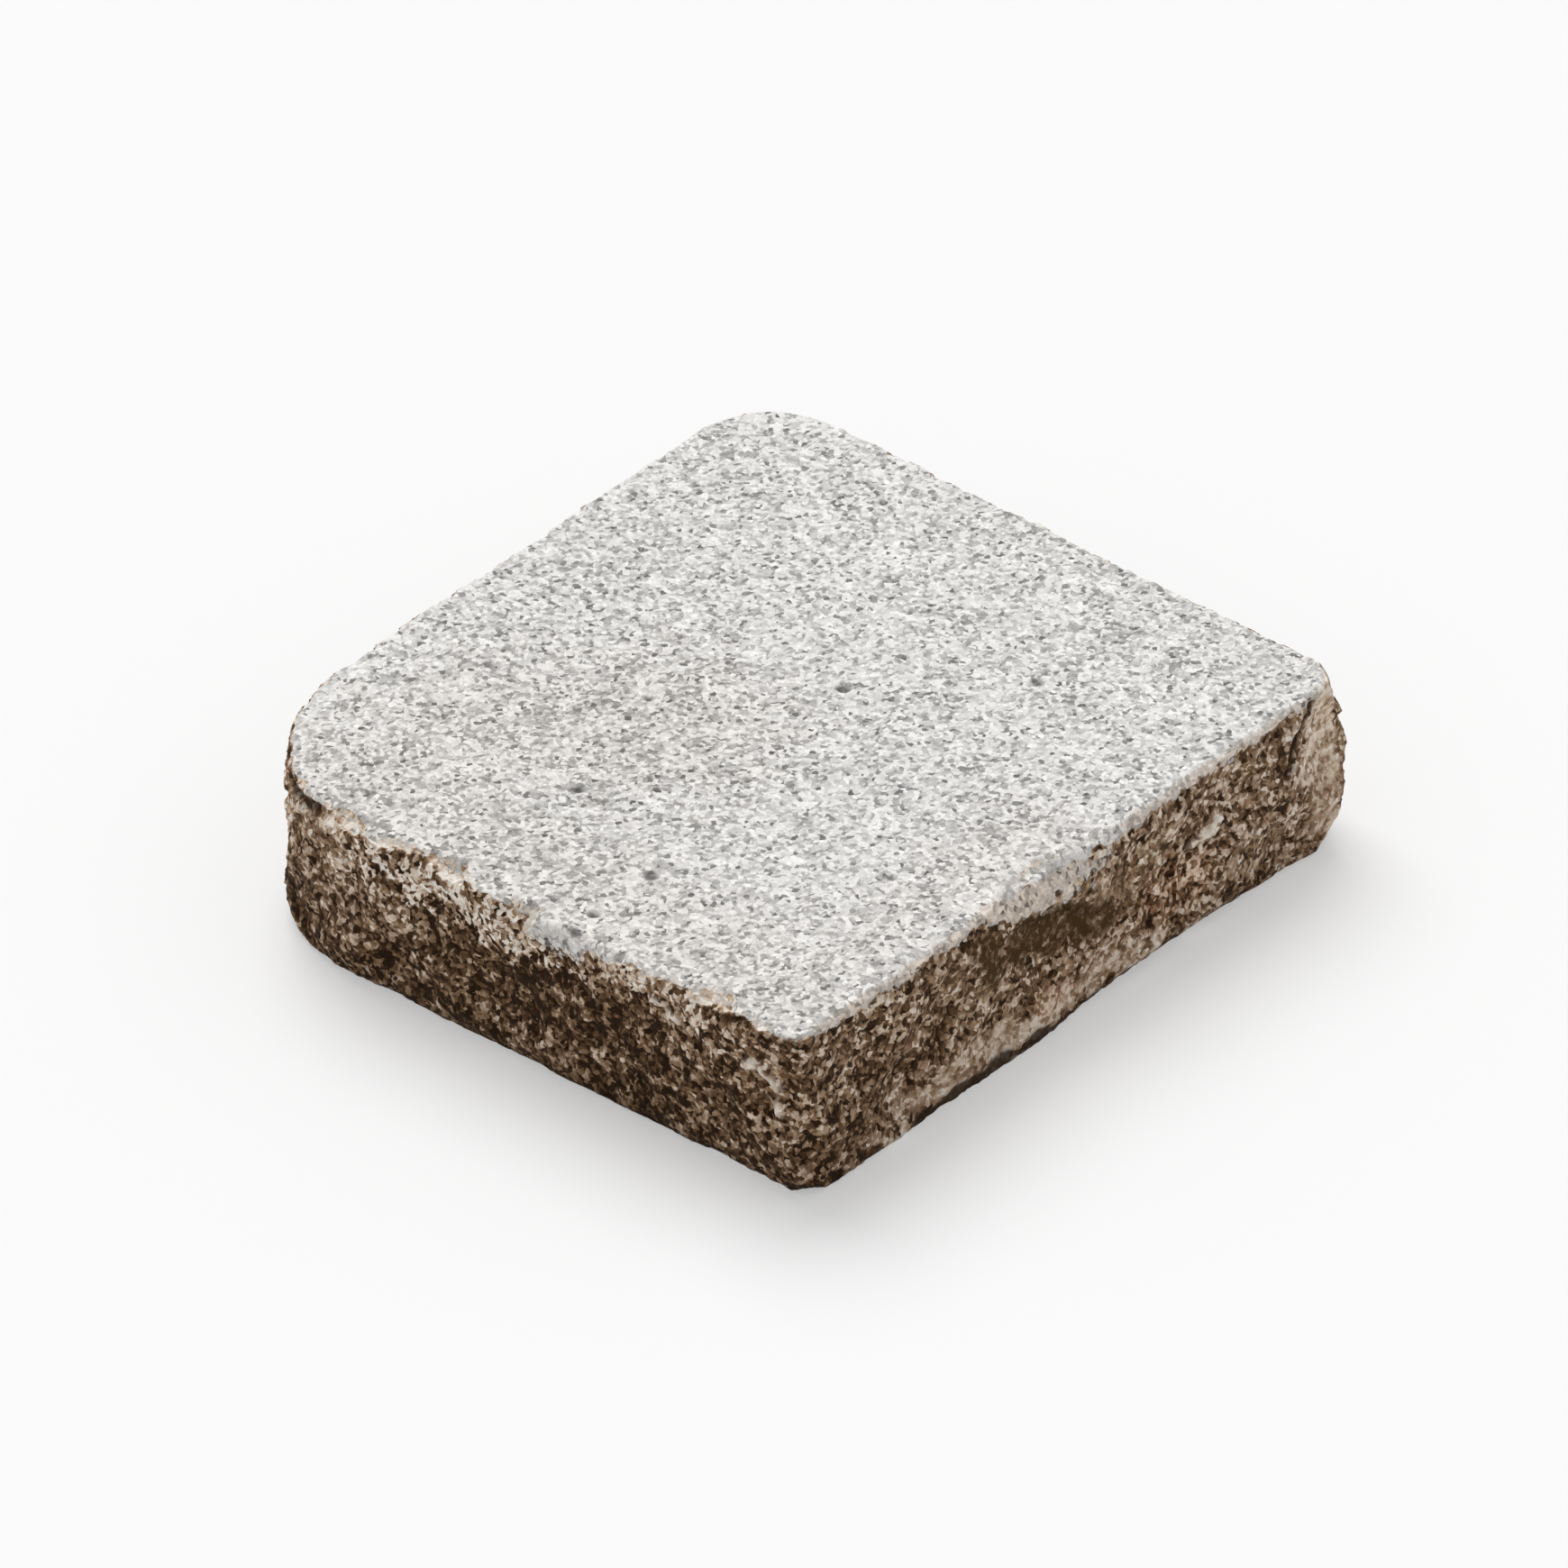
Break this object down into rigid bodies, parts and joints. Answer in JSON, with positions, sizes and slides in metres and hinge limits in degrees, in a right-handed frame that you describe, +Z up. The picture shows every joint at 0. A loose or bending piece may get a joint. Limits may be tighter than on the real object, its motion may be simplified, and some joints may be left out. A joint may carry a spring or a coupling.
{
  "type": "granite sett",
  "caption": "Square natural stone paving sett with a flat textured wearing face, rough split sides, knocked-off corners and a flat sawn bed.",
  "frame": {"origin": "centre of the bounding box, on the sawn bed", "axes": "+Z up from the bed to the head, +X towards the side with the long spall, +Y along the longer plan dimension"},
  "size_m": [0.1008, 0.1036, 0.022],
  "materials": {
    "granite": "pale grey speckled granite, flame-textured on the head, split and stained brown on the sides"
  },
  "bodies": {
    "root": {"granite_sett": "granite"}
  },
  "joints": []
}
